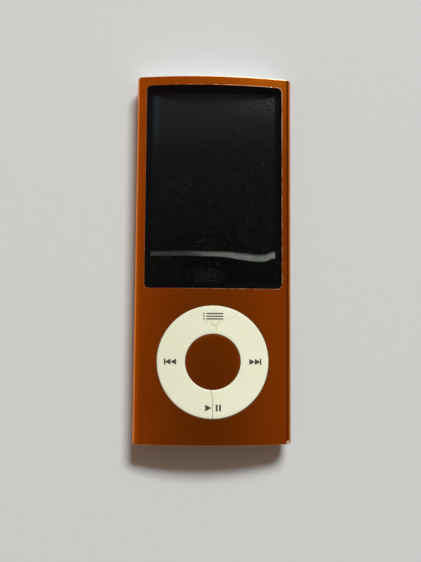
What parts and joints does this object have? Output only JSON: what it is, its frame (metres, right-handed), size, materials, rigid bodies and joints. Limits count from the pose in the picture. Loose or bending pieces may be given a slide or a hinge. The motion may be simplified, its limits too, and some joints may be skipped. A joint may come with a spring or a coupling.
{
  "type": "pocket digital audio player",
  "caption": "Slim oval-section aluminium pocket music player with a black glass display, a cream ring-shaped touch wheel and a centre button.",
  "frame": {"origin": "on the surface the player lies on, under the middle of the case", "axes": "+X across the width, to the right when the screen is read; +Y along the length, towards the end with the hold switch; +Z out of the screen"},
  "size_m": [0.0386, 0.0908, 0.0062],
  "materials": {
    "anodised_case": "orange anodised over a fine blasted surface, satin, bare metal where the edges are worn",
    "anodised_cap": "clear anodised, satin silver",
    "anodised_button": "orange anodised, satin",
    "cover_glass": "clear and glossy, with dust and fine scratches",
    "camera_glass": "black glass with a clear middle",
    "display_panel": "unlit liquid crystal panel, dark grey green",
    "black_plastic": "matte black",
    "black_ink": "deep black border behind the glass",
    "cream_plastic": "ivory, smooth satin, yellowed, with hairline cracks",
    "clear_acrylic": "clear light guide",
    "steel": "stamped stainless sheet",
    "gold_contact": "gold plated",
    "circuit_board": "green solder mask",
    "flex_circuit": "amber polyimide film",
    "chip_package": "moulded black package, no marking",
    "battery_foil": "laminated foil pouch",
    "foam": "soft foam sheet",
    "moulded_plastic": "dark grey glass-filled moulding",
    "marker_paint": "bright orange marker"
  },
  "bodies": {
    "case": {"case_tube": "anodised_case", "top_end_cap": "anodised_cap", "bottom_end_cap": "anodised_cap", "display_glass": "cover_glass", "display_gasket": "black_ink", "lcd_panel": "display_panel", "light_guide": "clear_acrylic", "backlight_tray": "steel", "display_flex": "flex_circuit", "chassis": "moulded_plastic", "wheel_switch_board": "circuit_board", "wheel_flex": "flex_circuit", "menu_dome": "steel", "next_dome": "steel", "play_dome": "steel", "previous_dome": "steel", "center_dome": "steel", "main_board": "circuit_board", "processor": "chip_package", "flash_memory": "chip_package", "power_chip": "chip_package", "audio_chip": "chip_package", "motion_sensor": "chip_package", "clock_crystal": "steel", "piezo_speaker": "steel", "microphone": "steel", "camera_module": "black_plastic", "camera_window": "camera_glass", "battery_cell": "battery_foil", "battery_foam_pad": "foam", "battery_protection_board": "circuit_board", "battery_lead": "flex_circuit", "dock_shell": "steel", "dock_tongue": "black_plastic", "dock_contacts": "gold_contact", "headphone_jack": "black_plastic", "jack_tip_spring": "gold_contact", "hold_switch_body": "steel", "board_screw_1": "steel", "board_screw_2": "steel", "board_screw_3": "steel", "board_screw_4": "steel"},
    "sensor_board": {"wheel_sensor_board": "circuit_board"},
    "control_wheel": {"control_wheel": "cream_plastic"},
    "center_button": {"center_button": "anodised_button"},
    "hold_slider": {"hold_slider": "anodised_cap", "hold_marker": "marker_paint", "hold_switch_lever": "black_plastic"}
  },
  "joints": [
    {"name": "menu_play_tilt", "type": "hinge", "parent": "case", "child": "sensor_board", "pos_m": [0, -0.02544, 0.005], "axis": [1, 0, 0], "range_deg": [-0.9, 0.9], "stiffness_Nm_per_rad": 0.05, "deforming": ["menu_dome", "play_dome"]},
    {"name": "previous_next_tilt", "type": "hinge", "parent": "sensor_board", "child": "control_wheel", "pos_m": [0, -0.02544, 0.005], "axis": [0, 1, 0], "range_deg": [-0.9, 0.9], "stiffness_Nm_per_rad": 0.05},
    {"name": "center_press", "type": "slide", "parent": "case", "child": "center_button", "axis": [0, 0, -1], "range_m": [0, 0.00025], "stiffness_N_per_m": 1500, "deforming": ["center_dome"]},
    {"name": "hold_slide", "type": "slide", "parent": "case", "child": "hold_slider", "axis": [1, 0, 0], "range_m": [0, 0.002]}
  ]
}
